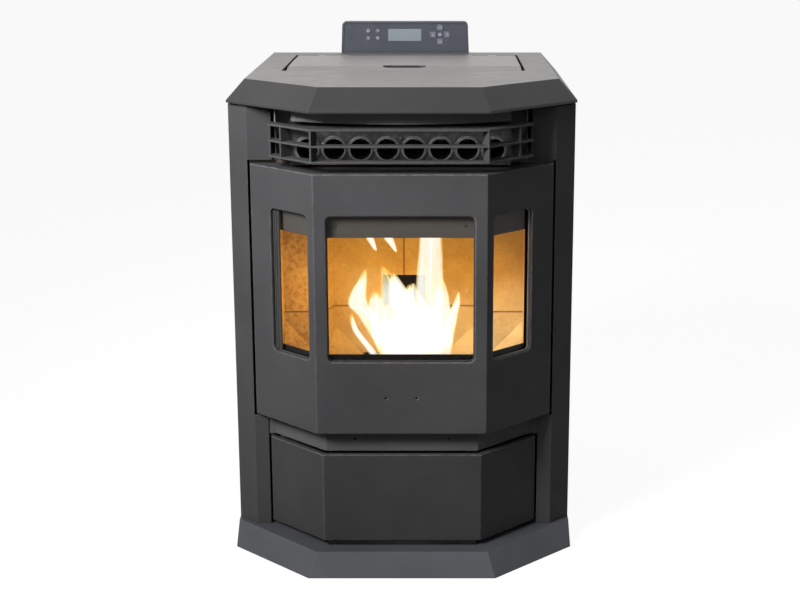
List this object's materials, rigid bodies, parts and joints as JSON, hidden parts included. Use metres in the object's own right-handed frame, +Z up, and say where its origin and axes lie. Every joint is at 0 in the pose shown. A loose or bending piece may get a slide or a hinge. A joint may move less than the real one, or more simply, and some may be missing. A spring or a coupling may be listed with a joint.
{
  "type": "pellet stove",
  "caption": "Free-standing pellet stove with a three-sided bay door, ash drawer, warm-air grille, flush hopper lid and rear control panel.",
  "frame": {"origin": "on the floor, under the centre of the overall box", "axes": "+X to the right seen from the front, +Y to the back, +Z up"},
  "size_m": [0.58, 0.728, 0.867],
  "materials": {
    "charcoal_paint": "satin charcoal stove paint",
    "galvanized": "galvanized sheet",
    "dark_steel": "heat-darkened steel",
    "cast_iron": "rough cast iron",
    "zinc_fastener": "zinc plated",
    "firebrick": "fired refractory board",
    "ceramic_glass": "clear ceramic glass",
    "rope_seal": "woven glass-fibre rope",
    "silicone": "matt silicone",
    "black_plastic": "moulded, fine grain",
    "panel_plastic": "blue-grey face",
    "display_plastic": "grey liquid-crystal window",
    "key_plastic": "light grey keys",
    "circuit_board": "green board",
    "motor_steel": "black motor can",
    "aluminium_part": "cast aluminium",
    "stainless": "stainless",
    "wood_pellet": "pressed sawdust pellets, shown in the hopper only by the render",
    "ember": "glowing pellets, shown in the pot only by the render",
    "flame": "light of the fire, shown only by the render",
    "ash": "grey wood ash, shown in the pan only by the render"
  },
  "bodies": {
    "cabinet": {"air_intake_pipe": "stainless", "air_plenum": "galvanized", "ash_guides": "firebrick", "auger_gearmotor": "motor_steel", "auger_tube": "dark_steel", "base_plinth": "charcoal_paint", "burn_pot_holder": "dark_steel", "control_board": "circuit_board", "control_faceplate": "panel_plastic", "control_housing": "black_plastic", "convection_blower_housing": "galvanized", "convection_blower_motor": "motor_steel", "display_window": "display_plastic", "door_hinge_brackets": "dark_steel", "exchanger_tubes": "dark_steel", "exhaust_blower_housing": "aluminium_part", "exhaust_blower_motor": "motor_steel", "firebox_shell": "dark_steel", "firebricks": "firebrick", "flue_outlet": "stainless", "front_sill": "charcoal_paint", "grille_blades": "charcoal_paint", "grille_struts": "charcoal_paint", "hopper": "galvanized", "igniter": "stainless", "levelling_feet": "zinc_fastener", "lid_hinge_leaves": "zinc_fastener", "outlet_hood": "charcoal_paint", "panel_screws": "zinc_fastener", "power_inlet": "black_plastic", "rear_panel": "charcoal_paint", "side_panel_left": "charcoal_paint", "side_panel_right": "charcoal_paint", "top_plate": "charcoal_paint"},
    "door": {"door_frame": "charcoal_paint", "door_glass": "ceramic_glass", "glass_gaskets": "rope_seal", "glass_retainers": "dark_steel", "air_wash_strip": "dark_steel", "retainer_screws": "zinc_fastener", "door_gasket": "rope_seal"},
    "latch": {"latch_rod": "dark_steel"},
    "lid": {"hopper_lid": "charcoal_paint", "lid_gasket": "silicone"},
    "ash_drawer": {"ash_drawer_front": "charcoal_paint", "ash_pan": "dark_steel"},
    "pot": {"burn_pot": "cast_iron"},
    "scraper": {"tube_scraper": "dark_steel"},
    "auger": {"auger_screw": "dark_steel"},
    "exhaust_fan": {"exhaust_impeller": "stainless"},
    "convection_fan": {"convection_impeller": "galvanized"},
    "key_round_1": {"key_round_1": "key_plastic"},
    "key_round_2": {"key_round_2": "key_plastic"},
    "key_round_3": {"key_round_3": "key_plastic"},
    "key_round_4": {"key_round_4": "key_plastic"},
    "key_up": {"key_up": "key_plastic"},
    "key_right": {"key_right": "key_plastic"},
    "key_down": {"key_down": "key_plastic"},
    "key_left": {"key_left": "key_plastic"},
    "key_centre": {"key_centre": "key_plastic"}
  },
  "joints": [
    {"name": "door_hinge", "type": "hinge", "parent": "cabinet", "child": "door", "pos_m": [-0.2401, -0.21217, 0.262], "axis": [0, 0, 1], "range_deg": [-90, 0]},
    {"name": "latch_turn", "type": "hinge", "parent": "door", "child": "latch", "pos_m": [0.236, -0.209, 0.237], "axis": [0, 0, 1], "range_deg": [-90, 0]},
    {"name": "lid_hinge", "type": "hinge", "parent": "cabinet", "child": "lid", "pos_m": [0, 0.2555, 0.803], "axis": [1, 0, 0], "range_deg": [-85, 0]},
    {"name": "ash_drawer_slide", "type": "slide", "parent": "cabinet", "child": "ash_drawer", "axis": [0, -1, 0], "range_m": [0, 0.22]},
    {"name": "burn_pot_lift", "type": "slide", "parent": "cabinet", "child": "pot", "axis": [0, 0, 1], "range_m": [0, 0.06]},
    {"name": "tube_scraper_pull", "type": "slide", "parent": "cabinet", "child": "scraper", "axis": [0, -1, 0], "range_m": [0, 0.15]},
    {"name": "auger_turn", "type": "hinge", "parent": "cabinet", "child": "auger", "pos_m": [0, 0.134, 0.37511], "axis": [0, -0.766, 0.6428], "continuous": true},
    {"name": "exhaust_fan_turn", "type": "hinge", "parent": "cabinet", "child": "exhaust_fan", "pos_m": [-0.19, 0.094, 0.15], "axis": [1, 0, 0], "continuous": true},
    {"name": "convection_fan_turn", "type": "hinge", "parent": "cabinet", "child": "convection_fan", "pos_m": [0.1, 0.084, 0.14], "axis": [1, 0, 0], "continuous": true},
    {"name": "key_round_1_press", "type": "slide", "parent": "cabinet", "child": "key_round_1", "axis": [0, 1, 0], "range_m": [0, 0.0008], "stiffness_N_per_m": 500},
    {"name": "key_round_2_press", "type": "slide", "parent": "cabinet", "child": "key_round_2", "axis": [0, 1, 0], "range_m": [0, 0.0008], "stiffness_N_per_m": 500},
    {"name": "key_round_3_press", "type": "slide", "parent": "cabinet", "child": "key_round_3", "axis": [0, 1, 0], "range_m": [0, 0.0008], "stiffness_N_per_m": 500},
    {"name": "key_round_4_press", "type": "slide", "parent": "cabinet", "child": "key_round_4", "axis": [0, 1, 0], "range_m": [0, 0.0008], "stiffness_N_per_m": 500},
    {"name": "key_up_press", "type": "slide", "parent": "cabinet", "child": "key_up", "axis": [0, 1, 0], "range_m": [0, 0.0008], "stiffness_N_per_m": 500},
    {"name": "key_right_press", "type": "slide", "parent": "cabinet", "child": "key_right", "axis": [0, 1, 0], "range_m": [0, 0.0008], "stiffness_N_per_m": 500},
    {"name": "key_down_press", "type": "slide", "parent": "cabinet", "child": "key_down", "axis": [0, 1, 0], "range_m": [0, 0.0008], "stiffness_N_per_m": 500},
    {"name": "key_left_press", "type": "slide", "parent": "cabinet", "child": "key_left", "axis": [0, 1, 0], "range_m": [0, 0.0008], "stiffness_N_per_m": 500},
    {"name": "key_centre_press", "type": "slide", "parent": "cabinet", "child": "key_centre", "axis": [0, 1, 0], "range_m": [0, 0.0008], "stiffness_N_per_m": 500}
  ]
}
